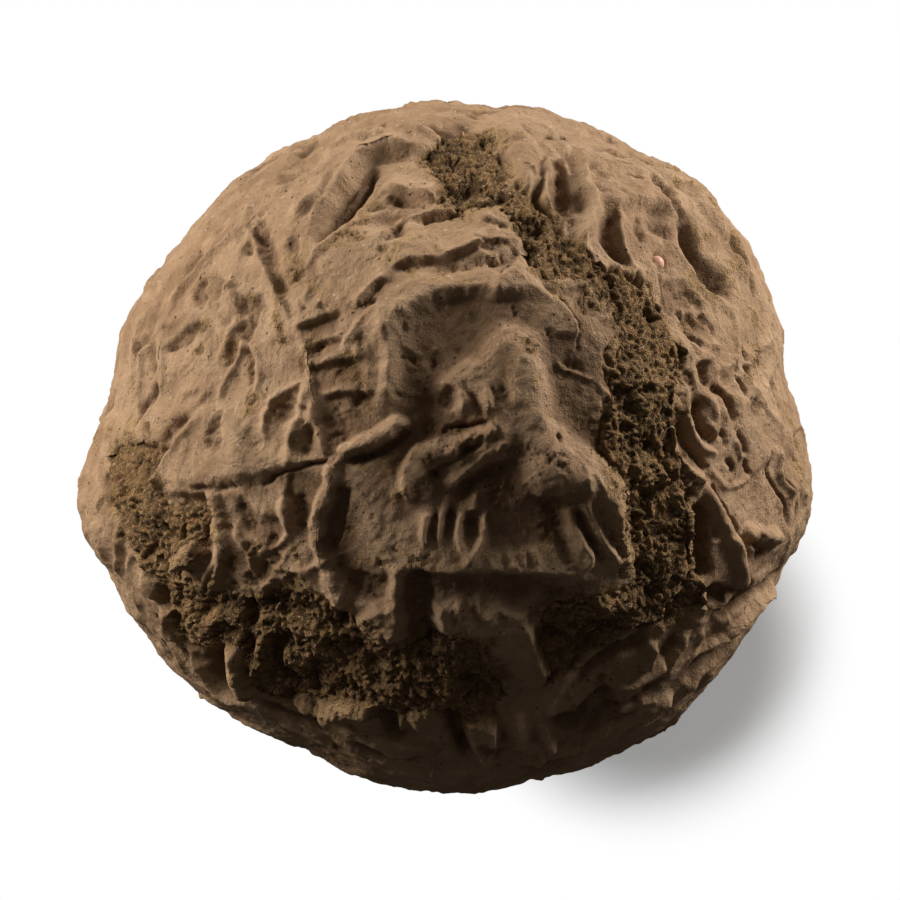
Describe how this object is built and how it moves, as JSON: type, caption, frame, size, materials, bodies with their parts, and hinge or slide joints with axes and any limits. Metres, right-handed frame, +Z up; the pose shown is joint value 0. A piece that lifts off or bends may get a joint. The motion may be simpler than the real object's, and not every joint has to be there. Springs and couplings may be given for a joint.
{
  "type": "clay bulla",
  "caption": "Hollow ball of clay with worn rolled seal impressions on pressed slabs, dark gritty seams and loose tokens in its sealed hollow.",
  "frame": {"origin": "middle of the flat that the ball rests on", "axes": "+Z up, out of the side with the figure panel; +X to the right and +Y to the top of that panel"},
  "size_m": [0.068, 0.0647, 0.065],
  "materials": {
    "coarse_clay": "coarse gritty unfired clay",
    "fine_clay": "matt worn unfired clay",
    "token_clay": "matt smoothed clay",
    "pebble": "smooth pebble"
  },
  "bodies": {
    "bulla": {"core_wall": "coarse_clay", "filling_plug": "coarse_clay", "coat_figure_panel": "fine_clay", "coat_crown": "fine_clay", "coat_left": "fine_clay", "coat_rim_left": "fine_clay", "coat_shoulder": "fine_clay", "coat_right_upper": "fine_clay", "coat_right": "fine_clay", "coat_lower_right": "fine_clay", "coat_lower": "fine_clay", "coat_lower_left": "fine_clay", "coat_base": "fine_clay", "pebble_inclusion": "pebble"},
    "large_sphere_token": {"large_sphere_token": "token_clay"},
    "small_sphere_token_1": {"small_sphere_token_1": "token_clay"},
    "cone_token_1": {"cone_token_1": "token_clay"},
    "disc_token_1": {"disc_token_1": "token_clay"},
    "disc_token_2": {"disc_token_2": "token_clay"},
    "small_sphere_token_2": {"small_sphere_token_2": "token_clay"},
    "rod_token": {"rod_token": "token_clay"},
    "cone_token_2": {"cone_token_2": "token_clay"},
    "tetrahedron_token": {"tetrahedron_token": "token_clay"}
  },
  "joints": [
    {"name": "large_sphere_token_rattle", "type": "slide", "parent": "bulla", "child": "large_sphere_token", "axis": [0, 0, 1], "range_m": [0, 0.013]},
    {"name": "small_sphere_token_1_rattle", "type": "slide", "parent": "bulla", "child": "small_sphere_token_1", "axis": [0, 0, 1], "range_m": [0, 0.0148]},
    {"name": "cone_token_1_rattle", "type": "slide", "parent": "bulla", "child": "cone_token_1", "axis": [0, 0, 1], "range_m": [0, 0.0133]},
    {"name": "disc_token_1_rattle", "type": "slide", "parent": "bulla", "child": "disc_token_1", "axis": [0, 0, 1], "range_m": [0, 0.0158]},
    {"name": "disc_token_2_rattle", "type": "slide", "parent": "bulla", "child": "disc_token_2", "axis": [0, 0, 1], "range_m": [0, 0.0158]},
    {"name": "small_sphere_token_2_rattle", "type": "slide", "parent": "bulla", "child": "small_sphere_token_2", "axis": [0, 0, 1], "range_m": [0, 0.0148]},
    {"name": "rod_token_rattle", "type": "slide", "parent": "bulla", "child": "rod_token", "axis": [0, 0, 1], "range_m": [0, 0.0175]},
    {"name": "cone_token_2_rattle", "type": "slide", "parent": "bulla", "child": "cone_token_2", "axis": [0, 0, 1], "range_m": [0, 0.0133]},
    {"name": "tetrahedron_token_rattle", "type": "slide", "parent": "bulla", "child": "tetrahedron_token", "axis": [0, 0, 1], "range_m": [0, 0.0158]}
  ]
}
